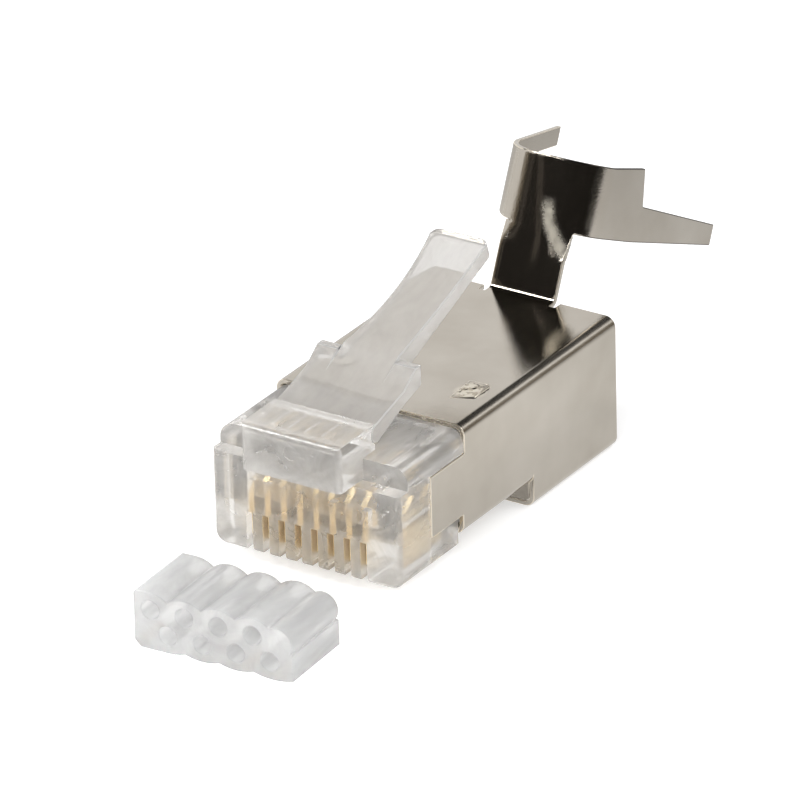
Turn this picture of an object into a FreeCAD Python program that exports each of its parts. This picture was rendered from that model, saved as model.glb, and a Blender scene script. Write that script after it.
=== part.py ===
"""Shielded 8-way modular plug with an external cable clamp and a loose load bar.

Millimetres. X runs across the plug, Y from the front face to the cable end, and Z from
the contact side up to the latch side. The origin is in the middle of the front face,
just above its lower edge.
"""
import FreeCAD, Part
import os
from math import atan2

import Sketcher

V = FreeCAD.Vector
doc = FreeCAD.newDocument("modular_plug")

# ---------------------------------------------------------------- driving dimensions
DIMENSIONS = [
    # clear moulding
    ("nose_width", 11.68, "width of the nose that enters the jack"),
    ("nose_height", 6.50, "top of the nose"),
    ("nose_low", -0.22, "underside of the nose, where its ribs run out"),
    ("moulding_length", 18.00, "clear moulding, front face to its open rear end"),
    ("ledge_depth", 0.90, "step back of the upper shoulders behind the front face"),
    ("ledge_height", 5.25, "height of that step"),
    ("corner_radius", 0.70, "long lower edges of the nose"),
    ("shoulder_radius", 0.90, "long upper edges of the nose"),
    ("front_edge_radius", 0.35, "upright edges of the front face"),
    # contacts
    ("contact_count", 8, "contacts in one row"),
    ("contact_pitch", 1.016, "spacing of the contacts"),
    ("blade_thickness", 0.33, "contact blade"),
    ("blade_clearance", 0.035, "slot wall to blade, each side"),
    ("blade_front", 0.50, "front edge of a blade behind the front face"),
    ("blade_length", 4.90, "blade, front to rear"),
    ("blade_low", 0.30, "contact edge above the nose's underside"),
    ("blade_high", 3.10, "root of the piercing tines"),
    ("tine_height", 0.75, "piercing tines above their root"),
    ("slot_window", 2.10, "height of a slot's open front"),
    ("rib_round", 0.20, "rounded lower edges of the ribs between the slots"),
    ("cut_past", 1.00, "how far a cut runs past the faces that it opens"),
    # wire space
    ("wall", 0.45, "side walls of the wire chamber"),
    ("chamber_floor", 1.20, "floor of the chamber that takes the load bar"),
    ("chamber_height", 4.35, "chamber, floor to ceiling"),
    ("chamber_front", 6.40, "front wall of the chamber"),
    ("wire_floor", 2.75, "floor of the low wire space over the contacts"),
    ("wire_height", 1.95, "low wire space, floor to ceiling"),
    ("wire_front", 1.25, "front end of the low wire space"),
    ("wire_groove", 0.42, "radius of the wire grooves in its ceiling"),
    # latch
    ("latch_width", 6.17, "latch plate, its root block and its locking shoulders"),
    ("lever_width", 3.50, "finger lever"),
    ("root_overhang", 1.30, "root block in front of the front face"),
    ("root_low", 5.32, "underside of the root block"),
    ("root_top", 7.95, "top of the root block"),
    ("gate_mark", 0.80, "round gate mark on the root block's front face"),
    ("gate_height", 6.96, "middle of the gate mark"),
    ("gate_depth", 0.08, "gate mark, sunk into that face"),
    ("hinge_back", 2.35, "bending line of the latch behind the front face"),
    ("plate_thickness", 1.10, "latch plate at its root"),
    ("hinge_clearance", 0.05, "rounded root of the latch in its groove"),
    ("shoulder_back", 4.98, "start of the locking ramps"),
    ("shoulder_start", 8.64, "height of the plate there"),
    ("plate_end", 0.80, "latch plate under the ramps, top to underside"),
    ("shoulder_flat", 0.51, "flat top of the shoulders, front to rear"),
    ("stop_back", 6.65, "locking faces behind the front face"),
    ("stop_top", 9.48, "top of the locking shoulders"),
    ("stop_low", 8.32, "underside of the locking shoulders"),
    ("lever_root_top", 9.66, "top of the lever over the locking faces"),
    ("lever_end_back", 15.60, "end of the lever"),
    ("lever_end_top", 12.70, "top of the lever at its end"),
    ("lever_curve", 80.0, "radius of the lever's hollow upper face"),
    ("lever_drop", 0.86, "underside of the lever's end below its top"),
    ("lever_end_slant", 0.28, "slant of the lever's end face"),
    ("lever_corner", 0.50, "corners of the lever's end"),
    ("lever_hollow", 0.42, "hollow of the lever's left edge"),
    # folded sheet shield
    ("sheet", 0.28, "thickness of the plated sheet"),
    ("sheet_gap", 0.05, "sheet to moulding"),
    ("cheek_proud", 0.04, "outer face of the shield outside the nose, each side"),
    ("shield_top", 6.73, "outer face of the shield's top"),
    ("shield_rear", 21.44, "rear end of the shield"),
    ("shield_bend", 0.60, "outer radius of the long bends"),
    ("top_front", 6.30, "front edge of the top and upper sides"),
    ("side_front", 3.00, "front edge of the side cheeks"),
    ("cheek_top", 5.16, "upper edge of the side cheeks"),
    ("cheek_low", 1.64, "lower edge of the side cheeks"),
    ("floor_front", 6.07, "front edge of the folded floor"),
    ("floor_low", 0.45, "outer face of the folded floor"),
    ("box_front", 12.96, "front of the deeper cable box"),
    ("box_low", -0.96, "outer face of the cable box's floor"),
    ("seam", 0.16, "slit where the two floor flaps meet"),
    ("lance_back", 8.80, "point of each pierced lance"),
    ("lance_length", 2.10, "lance, point to torn end"),
    ("lance_width", 1.22, "torn end of a lance"),
    ("lance_slant", 0.60, "slant of a lance's front edge, from its point outwards"),
    ("lance_rise", 0.15, "torn end above the top"),
    ("lance_side", 3.95, "lances either side of the middle"),
    # cable clamp, one piece with the shield
    ("strap_width", 4.10, "neck of the clamp"),
    ("strap_lean", 25.0, "lean of the neck back from upright, degrees"),
    ("fold_radius", 0.30, "inner radius of the fold at the neck's foot"),
    ("fold_back", 21.21, "start of that fold"),
    ("relief", 0.35, "notches beside the fold"),
    ("saddle_low", 3.55, "lower edge of the saddle, up the neck from the fold"),
    ("saddle_high", 7.45, "upper edge of the saddle"),
    ("neck_flare", 2.00, "start of the neck's flare into the saddle, up the neck"),
    ("saddle_left", 3.12, "outer face of the short arm, from the middle"),
    ("saddle_right", 2.90, "outer face of the long arm, from the middle"),
    ("saddle_cut", 0.55, "climb of the lower edge round the short bend"),
    ("short_bend", 1.40, "outer radius of the bend to the short arm"),
    ("long_bend", 2.20, "outer radius of the bend to the long arm"),
    ("long_arm", 5.35, "wide part of the long arm, along its upper edge"),
    ("long_arm_rise", 0.18, "climb of that edge from the saddle"),
    ("long_arm_slant", 0.63, "slant of the wide part's end"),
    ("long_tail", 14.40, "long arm to the end of its tail"),
    ("long_tail_root", 5.55, "upper edge of that tail at its root"),
    ("long_tail_end", 4.95, "upper edge of that tail at its end"),
    ("short_arm", 3.60, "wide part of the short arm"),
    ("short_tail", 5.50, "short arm to the end of its tail"),
    ("short_tail_rise", 1.35, "climb of the short arm's upper edge"),
    ("tail_end", 1.08, "height of a tail at its end"),
    # load bar, lying in front of the plug
    ("bar_width", 9.50, "load bar, across its wires"),
    ("bar_height", 3.28, "load bar, top to bottom over its lobes"),
    ("bar_length", 4.70, "load bar, along its wires"),
    ("bar_wire_bore", 1.05, "wire holes of the load bar"),
    ("bar_wire_pitch", 2.032, "spacing of the wires in one row"),
    ("bar_first_wire", -2.72, "first wire of the lower row, from the bar's middle"),
    ("bar_wire_edge", 1.00, "middle of a wire hole in from the top or bottom"),
    ("bar_end_bulge", 0.70, "bulge of the lobe at the upper right corner"),
    ("bar_groove", 0.36, "depth of the grooves between two upper lobes"),
    ("bar_low_groove", 0.17, "depth of the grooves between two lower lobes"),
    ("bar_aside", 0.86, "middle of the load bar beside the plug's middle"),
    ("bar_turn", 2.7, "turn of the load bar as it lies, degrees"),
    ("bar_ahead", 5.70, "rear end of the load bar in front of the front face"),
]

sheet = doc.addObject("Spreadsheet::Sheet", "Dims")
for row, (alias, size, note) in enumerate(DIMENSIONS, start=1):
    sheet.set(f"A{row}", str(size))
    sheet.setAlias(f"A{row}", alias)
    sheet.set(f"B{row}", note)
doc.recompute()


def value(expression):
    """The number that an expression over the sheet's cells gives."""
    return float(sheet.evalExpression(expression))


# ---------------------------------------------------------------- helpers for the bodies
def new_body(label):
    body = doc.addObject("PartDesign::Body", label)
    body.Label = label
    return body


def new_sketch(body, name, role, offset=("0", "0", "0"), turn=None):
    """A sketch on one of the body's own planes, moved and turned by expressions."""
    sketch = body.newObject("Sketcher::SketchObject", name)
    plane = next(f for f in body.Origin.OriginFeatures if f.Role == role)
    sketch.AttachmentSupport = [(plane, "")]
    sketch.MapMode = "FlatFace"
    if turn:
        axis, angle = turn
        sketch.AttachmentOffset = FreeCAD.Placement(
            V(0, 0, 0), FreeCAD.Rotation(axis, value(angle)))
        sketch.setExpression("AttachmentOffset.Rotation.Angle", angle)
    for letter, expression in zip("xyz", offset):
        sketch.setExpression(f"AttachmentOffset.Base.{letter}", expression)
    return sketch


def place(sketch, geometry, end, point):
    """Pin one point of the sketch to a pair of expressions."""
    for kind, expression in zip(("DistanceX", "DistanceY"), point):
        index = sketch.addConstraint(
            Sketcher.Constraint(kind, -1, 1, geometry, end, value(expression)))
        sketch.setExpression(f"Constraints[{index}]", expression)


def outline(sketch, points):
    """A closed outline, each corner pinned to its expressions. A corner is (x, y), or
    (x, y, radius, side) where an arc leads up to it with its centre on that side,
    +1 to the left of the way there and -1 to the right."""
    count = len(points)
    corners = [V(value(p[0]), value(p[1]), 0) for p in points]
    ends = []
    for k in range(count):
        start, finish, ahead = corners[k - 1], corners[k], points[k]
        turned = False
        if len(ahead) == 2:
            index = sketch.addGeometry(Part.LineSegment(start, finish), False)
        else:
            radius, side = value(ahead[2]), ahead[3]
            chord = finish - start
            left = V(-chord.y, chord.x, 0).normalize()
            inset = max(radius ** 2 - (chord.Length / 2) ** 2, 0) ** 0.5
            centre = (start + finish) * 0.5 + left * (side * inset)
            reach = [atan2(p.y - centre.y, p.x - centre.x) for p in (start, finish)[::side]]
            ring = Part.Circle(centre, V(0, 0, 1), radius)
            index = sketch.addGeometry(Part.ArcOfCircle(ring, *reach), False)
            bound = sketch.addConstraint(Sketcher.Constraint("Radius", index, radius))
            sketch.setExpression(f"Constraints[{bound}]", ahead[2])
            turned = side < 0
        ends.append((index, (2, 1) if turned else (1, 2)))
    for k in range(count):
        index, (_, last) = ends[k]
        following, (first, _) = ends[(k + 1) % count]
        sketch.addConstraint(Sketcher.Constraint("Coincident", index, last, following, first))
        place(sketch, index, last, points[k])
    return sketch


def circle(sketch, centre, radius):
    """A circle pinned at its centre, with its radius bound."""
    middle = V(value(centre[0]), value(centre[1]), 0)
    index = sketch.addGeometry(Part.Circle(middle, V(0, 0, 1), value(radius)), False)
    place(sketch, index, 3, centre)
    bound = sketch.addConstraint(Sketcher.Constraint("Radius", index, value(radius)))
    sketch.setExpression(f"Constraints[{bound}]", radius)
    return sketch


def pad(body, name, sketch, length, midplane=False, back=False):
    feature = body.newObject("PartDesign::Pad", name)
    feature.Profile = sketch
    feature.Midplane = midplane
    feature.Reversed = back
    feature.setExpression("Length", length)
    doc.recompute()
    return feature


def pocket(body, name, sketch, length=None, midplane=False, back=False):
    """A cut that must remove material; with no length it goes right through."""
    before = body.Shape.Volume
    feature = body.newObject("PartDesign::Pocket", name)
    feature.Profile = sketch
    feature.Midplane = midplane
    feature.Reversed = back
    if length:
        feature.setExpression("Length", length)
    else:
        feature.Type = "ThroughAll"
    doc.recompute()
    if body.Shape.Volume > before - 1e-6:
        raise RuntimeError(f"{name} cuts nothing")
    return feature


def body_axis(body, role):
    return (next(f for f in body.Origin.OriginFeatures if f.Role == role), [""])


def pattern(body, name, feature, direction, pitch, count):
    """Copies of a feature along one of the body's own axes, or an axis of a sketch."""
    copies = body.newObject("PartDesign::LinearPattern", name)
    copies.Originals = [feature]
    copies.Direction = direction
    copies.Mode = "Spacing"
    copies.setExpression("Offset", pitch)
    copies.setExpression("Occurrences", count)
    body.Tip = copies
    doc.recompute()
    return copies


def fillet(body, name, radius, wanted):
    """Round the straight edges of the body's tip whose direction and middle are wanted."""
    tip = body.Tip
    names = []
    for k, edge in enumerate(tip.Shape.Edges, start=1):
        if isinstance(edge.Curve, Part.Line):
            middle = (edge.Vertexes[0].Point + edge.Vertexes[-1].Point) * 0.5
            along = edge.Vertexes[-1].Point - edge.Vertexes[0].Point
            if wanted(middle, along.normalize()):
                names.append(f"Edge{k}")
    if not names:
        raise RuntimeError(f"{name} finds no edge")
    feature = body.newObject("PartDesign::Fillet", name)
    feature.Base = (tip, names)
    feature.setExpression("Radius", radius)
    doc.recompute()
    return feature


def bulged(run, bulge, climb="0"):
    """Radius of the arc over a run and a climb that stands out by a bulge."""
    return f"((({run} ^ 2 + {climb} ^ 2) / 4 + {bulge} ^ 2) / (2 * {bulge}))"


def near(a, b):
    return abs(a - b) < 1e-4


def runs(along, axis):
    return abs(abs(getattr(along, axis)) - 1) < 1e-4


# ---------------------------------------------------------------- clear moulding
# Sizes that follow from the shield, the contacts and the latch.
SHIELD_HALF = "(Dims.nose_width / 2 + Dims.cheek_proud)"
UNDER_TOP = "(Dims.shield_top - Dims.sheet - Dims.sheet_gap)"
UNDER_SIDE = f"({SHIELD_HALF} - Dims.sheet - Dims.sheet_gap)"
OVER_FLOOR = "(Dims.floor_low + Dims.sheet + Dims.sheet_gap)"
HINGE_HEIGHT = "(Dims.root_top - Dims.plate_thickness / 2 - Dims.hinge_clearance)"
SLOT_WIDTH = "(Dims.blade_thickness + 2 * Dims.blade_clearance)"
FIRST_CONTACT = "(-(Dims.contact_count - 1) / 2 * Dims.contact_pitch)"


def make_housing():
    """The clear moulding: a nose with eight contact slots, two upper shoulders that step
    back, the block that the latch bends on, and an open chamber behind for the wires."""
    body = new_body("housing")

    side = outline(new_sketch(body, "housing_side", "YZ_Plane"), [
        ("0", "Dims.nose_low"),
        ("Dims.floor_front - Dims.sheet_gap", "Dims.nose_low"),
        ("Dims.floor_front - Dims.sheet_gap", OVER_FLOOR),
        ("Dims.moulding_length", OVER_FLOOR),
        ("Dims.moulding_length", UNDER_TOP),
        ("Dims.top_front - Dims.sheet_gap", UNDER_TOP),
        ("Dims.top_front - Dims.sheet_gap", "Dims.nose_height"),
        ("Dims.ledge_depth", "Dims.nose_height"),
        ("Dims.ledge_depth", "Dims.ledge_height"),
        ("0", "Dims.ledge_height"),
    ])
    pad(body, "housing_block", side, "Dims.nose_width", midplane=True)

    # flanks set in for the shield's cheeks, up to the step that the cheeks leave
    behind = "Dims.moulding_length + Dims.cut_past"
    flank = [
        ("Dims.side_front - Dims.sheet_gap", "-Dims.cut_past"),
        (behind, "-Dims.cut_past"),
        (behind, "Dims.nose_height + Dims.cut_past"),
        ("Dims.top_front - Dims.sheet_gap", "Dims.nose_height + Dims.cut_past"),
        ("Dims.top_front - Dims.sheet_gap", "Dims.cheek_top + Dims.sheet_gap"),
        ("Dims.side_front - Dims.sheet_gap", "Dims.cheek_top + Dims.sheet_gap"),
    ]
    right = new_sketch(body, "flank_right", "YZ_Plane", ("0", "0", UNDER_SIDE))
    pocket(body, "flank_right_cut", outline(right, flank), back=True)
    left = new_sketch(body, "flank_left", "YZ_Plane", ("0", "0", "-" + UNDER_SIDE))
    pocket(body, "flank_left_cut", outline(left, flank))

    nose_side, flank_side = value("Dims.nose_width / 2"), value(UNDER_SIDE)
    top, under_top = value("Dims.nose_height"), value(UNDER_TOP)
    over_floor, nose_low = value(OVER_FLOOR), value("Dims.nose_low")
    fillet(body, "lower_edges", "Dims.corner_radius", lambda middle, along: runs(along, "y")
           and near(middle.z, nose_low) and near(abs(middle.x), nose_side))
    fillet(body, "shoulder_edges", "Dims.shoulder_radius", lambda middle, along: runs(along, "y")
           and near(middle.z, top) and near(abs(middle.x), nose_side))
    fillet(body, "sheathed_edges", "Dims.shield_bend", lambda middle, along: runs(along, "y")
           and near(abs(middle.x), flank_side)
           and (near(middle.z, under_top) or near(middle.z, over_floor)))
    fillet(body, "front_edges", "Dims.front_edge_radius", lambda middle, along: runs(along, "z")
           and near(middle.y, 0) and near(abs(middle.x), nose_side))

    # root block of the latch, with the groove that its rounded root lies in
    root = outline(new_sketch(body, "root_side", "YZ_Plane"), [
        ("-Dims.root_overhang", "Dims.root_low"),
        ("Dims.ledge_depth + Dims.shoulder_radius", "Dims.root_low"),
        ("Dims.ledge_depth + Dims.shoulder_radius", "Dims.nose_height - Dims.sheet"),
        ("Dims.hinge_back - Dims.plate_thickness / 4", "Dims.nose_height - Dims.sheet"),
        ("Dims.hinge_back - Dims.plate_thickness / 4", "Dims.root_top"),
        ("-Dims.root_overhang", "Dims.root_top"),
    ])
    pad(body, "root_block", root, "Dims.latch_width", midplane=True)
    groove = circle(new_sketch(body, "hinge_groove_side", "YZ_Plane"),
                    ("Dims.hinge_back", HINGE_HEIGHT),
                    "Dims.plate_thickness / 2 + Dims.hinge_clearance")
    pocket(body, "hinge_groove", groove, "Dims.latch_width + 2 * Dims.sheet", midplane=True)
    gate = circle(new_sketch(body, "gate_mark_front", "XZ_Plane", ("0", "0", "Dims.root_overhang")),
                  ("0", "Dims.gate_height"), "Dims.gate_mark / 2")
    pocket(body, "gate_mark", gate, "Dims.gate_depth")
    overhang, root_top = value("-Dims.root_overhang"), value("Dims.root_top")
    root_side = value("Dims.latch_width / 2")
    fillet(body, "root_edges", "Dims.front_edge_radius", lambda middle, along:
           near(middle.y, overhang)
           and ((runs(along, "x") and near(middle.z, root_top))
                or (runs(along, "z") and near(abs(middle.x), root_side))))

    # chamber for the load bar, open at the rear, and the low space over the contacts
    chamber = outline(new_sketch(body, "chamber_section", "XZ_Plane",
                                 ("0", "0", "-Dims.moulding_length")), box_points(
        "(" + UNDER_SIDE + " - Dims.wall)", "Dims.chamber_floor",
        "Dims.chamber_floor + Dims.chamber_height"))
    pocket(body, "chamber", chamber, "Dims.moulding_length - Dims.chamber_front", back=True)
    wires = outline(new_sketch(body, "wire_section", "XZ_Plane", ("0", "0", "-Dims.chamber_front")),
                    box_points("Dims.contact_count / 2 * Dims.contact_pitch", "Dims.wire_floor",
                               "Dims.wire_floor + Dims.wire_height"))
    pocket(body, "wire_space", wires, "Dims.chamber_front - Dims.wire_front", back=True)
    groove = circle(new_sketch(body, "wire_groove_section", "XZ_Plane",
                               ("0", "0", "-Dims.chamber_front")),
                    (FIRST_CONTACT, "Dims.wire_floor + Dims.wire_height"), "Dims.wire_groove")
    cut = pocket(body, "wire_groove", groove, "Dims.chamber_front - Dims.wire_front", back=True)
    sideways = body_axis(body, "X_Axis")
    pattern(body, "wire_grooves", cut, sideways, "Dims.contact_pitch", "Dims.contact_count")

    # contact slots: open below and, in their lower part, at the front
    slot_rear = "Dims.blade_front + Dims.blade_length + Dims.blade_clearance"
    slot_front = "Dims.blade_front - Dims.blade_clearance"
    slot_top = "Dims.blade_high + Dims.tine_height"
    slot = outline(new_sketch(body, "slot_side", "YZ_Plane", ("0", "0", FIRST_CONTACT)), [
        ("-Dims.cut_past", "-Dims.cut_past"),
        (slot_rear, "-Dims.cut_past"),
        (slot_rear, slot_top),
        (slot_front, slot_top),
        (slot_front, "Dims.slot_window"),
        ("-Dims.cut_past", "Dims.slot_window"),
    ])
    cut = pocket(body, "slot", slot, SLOT_WIDTH, midplane=True)
    pattern(body, "slots", cut, sideways, "Dims.contact_pitch", "Dims.contact_count")

    # the ribs between the slots are rounded below, so each slot has a flared mouth
    slot_half, flare = f"{SLOT_WIDTH} / 2", "Dims.rib_round"
    mouth = outline(new_sketch(body, "slot_mouth_section", "XZ_Plane"), [
        (f"{FIRST_CONTACT} - {slot_half} - {flare}", "Dims.nose_low"),
        (f"{FIRST_CONTACT} - {slot_half}", f"Dims.nose_low + {flare}", flare, 1),
        (f"{FIRST_CONTACT} + {slot_half}", f"Dims.nose_low + {flare}"),
        (f"{FIRST_CONTACT} + {slot_half} + {flare}", "Dims.nose_low", flare, 1),
    ])
    cut = pocket(body, "slot_mouth", mouth, slot_rear)
    pattern(body, "slot_mouths", cut, sideways, "Dims.contact_pitch", "Dims.contact_count")
    return body


def box_points(half_width, low, high):
    """Corners of a rectangle that is centred across the plug."""
    return [
        (f"-{half_width}", low),
        (half_width, low),
        (half_width, high),
        (f"-{half_width}", high),
    ]


# ---------------------------------------------------------------- contacts
def make_contact(number):
    """One stamped blade: a straight contact edge below, a rounded front corner, and three
    tines above that pierce the wire."""
    body = new_body(f"contact_{number + 1}")
    x = f"({FIRST_CONTACT} + {number} * Dims.contact_pitch)"
    rear = "(Dims.blade_front + Dims.blade_length)"
    tine = "(Dims.blade_length / 3)"
    tine_top = "Dims.blade_high + Dims.tine_height"
    points = [
        ("Dims.blade_front + Dims.blade_low", "Dims.blade_low"),
        (rear, "Dims.blade_low"),
        (rear, "Dims.blade_high"),
    ]
    for k in (2, 1, 0):
        points.append((f"Dims.blade_front + {k + 0.5} * {tine}", tine_top))
        points.append((f"Dims.blade_front + {k} * {tine}", "Dims.blade_high"))
    points.append(("Dims.blade_front", "2 * Dims.blade_low"))
    side = outline(new_sketch(body, f"blade_side_{number + 1}", "YZ_Plane", ("0", "0", x)), points)
    pad(body, f"blade_{number + 1}", side, "Dims.blade_thickness", midplane=True)
    return body


# ---------------------------------------------------------------- latch
def make_latch():
    """The sprung latch: a plate that bends at its rounded root, two ramped shoulders with
    upright locking faces, and the narrower finger lever."""
    body = new_body("latch")
    half_plate = "Dims.plate_thickness / 2"

    root = circle(new_sketch(body, "root_round", "YZ_Plane"),
                  ("Dims.hinge_back", HINGE_HEIGHT), half_plate)
    pad(body, "root", root, "Dims.latch_width", midplane=True)
    plate = outline(new_sketch(body, "plate_side", "YZ_Plane"), [
        ("Dims.hinge_back", f"{HINGE_HEIGHT} - {half_plate}"),
        ("Dims.shoulder_back", "Dims.shoulder_start - Dims.plate_end"),
        ("Dims.stop_back", "Dims.stop_low"),
        ("Dims.stop_back", "Dims.stop_top"),
        ("Dims.stop_back - Dims.shoulder_flat", "Dims.stop_top"),
        ("Dims.shoulder_back", "Dims.shoulder_start"),
        ("Dims.hinge_back", f"{HINGE_HEIGHT} + {half_plate}"),
    ])
    pad(body, "plate", plate, "Dims.latch_width", midplane=True)
    between = outline(new_sketch(body, "between_shoulders_side", "YZ_Plane"), [
        ("Dims.shoulder_back", "Dims.shoulder_start"),
        ("Dims.stop_back", "Dims.lever_root_top"),
        ("Dims.shoulder_back", "Dims.lever_root_top"),
    ])
    pocket(body, "between_shoulders", between, "Dims.lever_width", midplane=True)

    lever = outline(new_sketch(body, "lever_side", "YZ_Plane"), [
        ("Dims.shoulder_back", f"Dims.shoulder_start - {half_plate}"),
        ("Dims.stop_back", "Dims.stop_low"),
        ("Dims.lever_end_back + Dims.lever_end_slant", "Dims.lever_end_top - Dims.lever_drop"),
        ("Dims.lever_end_back", "Dims.lever_end_top"),
        ("Dims.stop_back", "Dims.lever_root_top", "Dims.lever_curve", -1),
        ("Dims.shoulder_back", "Dims.shoulder_start"),
    ])
    pad(body, "lever", lever, "Dims.lever_width", midplane=True)
    end_side = value("Dims.lever_width / 2")
    end_middle = value("Dims.lever_end_back + Dims.lever_end_slant / 2")
    fillet(body, "lever_corners", "Dims.lever_corner", lambda middle, along:
           near(abs(middle.x), end_side) and near(middle.y, end_middle))

    # the lever's left edge is hollow between its root and its end
    hollow = "Dims.lever_hollow"
    span = "(Dims.lever_end_back - Dims.lever_corner - Dims.stop_back)"
    edge = new_sketch(body, "lever_plan", "XY_Plane", ("0", "0", "Dims.lever_end_top"))
    outline(edge, [
        ("-Dims.lever_width / 2", "Dims.stop_back"),
        ("-Dims.lever_width / 2", f"Dims.stop_back + {span}", bulged(span, hollow), 1),
    ])
    pocket(body, "lever_hollow", edge)
    return body


# ---------------------------------------------------------------- shield and cable clamp
LEAN = "Dims.strap_lean"
NECK_UP = "(90 - Dims.strap_lean)"
FOLD_HEIGHT = "(Dims.shield_top + Dims.fold_radius)"


def neck_point(along, behind):
    """A point of the neck in the side view: how far up the neck from the end of its fold,
    and how far behind its front face."""
    back = (f"Dims.fold_back + (Dims.fold_radius + {behind}) * sin({NECK_UP})"
            f" + ({along}) * cos({NECK_UP})")
    up = (f"{FOLD_HEIGHT} - (Dims.fold_radius + {behind}) * cos({NECK_UP})"
          f" + ({along}) * sin({NECK_UP})")
    return (back, up)


def make_shield():
    """One blank of plated sheet: top, cheeks, folded floor with its seam, the deeper cable
    box, two pierced lances, and the cable clamp that stands up from the rear edge."""
    body = new_body("shield")
    side = outline(new_sketch(body, "shield_side", "YZ_Plane"), [
        ("Dims.side_front", "Dims.cheek_low"),
        ("Dims.floor_front", "Dims.cheek_low"),
        ("Dims.floor_front", "Dims.floor_low"),
        ("Dims.box_front", "Dims.floor_low"),
        ("Dims.box_front", "Dims.box_low"),
        ("Dims.shield_rear", "Dims.box_low"),
        ("Dims.shield_rear", "Dims.shield_top"),
        ("Dims.top_front", "Dims.shield_top"),
        ("Dims.top_front", "Dims.cheek_top"),
        ("Dims.side_front", "Dims.cheek_top"),
    ])
    pad(body, "shield_form", side, f"2 * {SHIELD_HALF}", midplane=True)
    outer, top = value(SHIELD_HALF), value("Dims.shield_top")
    floor, box_floor = value("Dims.floor_low"), value("Dims.box_low")
    fillet(body, "long_bends", "Dims.shield_bend", lambda middle, along: runs(along, "y")
           and near(abs(middle.x), outer)
           and (near(middle.z, top) or near(middle.z, floor) or near(middle.z, box_floor)))

    # hollow, with the inner radius of the bends; the cable box is hollow further down
    inner_half = f"({SHIELD_HALF} - Dims.sheet)"
    inner_bend = "(Dims.shield_bend - Dims.sheet)"
    inner_top = "(Dims.shield_top - Dims.sheet)"
    hollows = [
        ("tunnel", "Dims.floor_low + Dims.sheet", "(Dims.shield_rear - Dims.side_front)"),
        ("cable_box", "Dims.box_low + Dims.sheet", "(Dims.shield_rear - Dims.box_front)"),
    ]
    for name, low, depth in hollows:
        section = new_sketch(body, f"{name}_section", "XZ_Plane", ("0", "0", "-Dims.shield_rear"))
        outline(section, rounded_section(inner_half, low, inner_top, inner_bend))
        pocket(body, f"{name}_hollow", section, depth, back=True)
    seam = outline(new_sketch(body, "seam_plan", "XY_Plane"), [
        ("-Dims.seam / 2", "Dims.side_front"),
        ("Dims.seam / 2", "Dims.side_front"),
        ("Dims.seam / 2", "Dims.shield_rear + Dims.cut_past"),
        ("-Dims.seam / 2", "Dims.shield_rear + Dims.cut_past"),
    ])
    pocket(body, "seam_slit", seam, "Dims.sheet - 2 * Dims.box_low", midplane=True)

    # notches at the foot of the clamp, then its neck with the fold
    notch_half = "(Dims.strap_width / 2 + Dims.relief)"
    notch = outline(new_sketch(body, "notch_plan", "XY_Plane", ("0", "0", "Dims.shield_top")), [
        (f"-{notch_half}", "Dims.fold_back - Dims.relief"),
        (notch_half, "Dims.fold_back - Dims.relief"),
        (notch_half, "Dims.shield_rear + Dims.cut_past"),
        (f"-{notch_half}", "Dims.shield_rear + Dims.cut_past"),
    ])
    pocket(body, "notches", notch, "2 * Dims.sheet")
    foot = "(Dims.fold_back - Dims.relief)"
    neck = outline(new_sketch(body, "neck_side", "YZ_Plane"), [
        (foot, inner_top),
        ("Dims.fold_back", inner_top),
        neck_point("0", "Dims.sheet") + ("Dims.fold_radius + Dims.sheet", 1),
        neck_point("Dims.neck_flare", "Dims.sheet"),
        neck_point("Dims.neck_flare", "0"),
        neck_point("0", "0"),
        ("Dims.fold_back", "Dims.shield_top", "Dims.fold_radius", -1),
        (foot, "Dims.shield_top"),
    ])
    pad(body, "neck", neck, "Dims.strap_width", midplane=True)

    # the neck's upper end flares from flat into the round of the long arm's bend
    left, right, t = "Dims.saddle_left", "Dims.saddle_right", "Dims.sheet"
    short_bend, long_bend = "Dims.short_bend", "Dims.long_bend"
    half_neck = "Dims.strap_width / 2"
    bend_start = f"({right} - {long_bend})"
    turn = f"asin(({half_neck} - {bend_start}) / {long_bend})"
    inner = f"({long_bend} - {t})"
    flat = new_sketch(body, "flare_foot", "XY_Plane",
                      ("0",) + neck_point("Dims.neck_flare", "0"), (V(1, 0, 0), f"-{LEAN}"))
    outline(flat, [
        (f"-{half_neck}", "0"),
        (bend_start, "0"),
        (half_neck, "0"),
        (half_neck, t),
        (bend_start, t),
        (f"-{half_neck}", t),
    ])
    across_saddle = (("0",) + neck_point("Dims.saddle_low", "0"), (V(1, 0, 0), f"-{LEAN}"))
    round_end = outline(new_sketch(body, "flare_end", "XY_Plane", *across_saddle), [
        (f"-{half_neck}", "0"),
        (bend_start, "0"),
        (half_neck, f"{long_bend} * (1 - cos({turn}))", long_bend, 1),
        (f"{bend_start} + {inner} * sin({turn})", f"{long_bend} - {inner} * cos({turn})"),
        (bend_start, t, inner, -1),
        (f"-{half_neck}", t),
    ])
    flare = body.newObject("PartDesign::AdditiveLoft", "neck_flare")
    flare.Profile = flat
    flare.Sections = [round_end]
    flare.Ruled = True
    doc.recompute()

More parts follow.
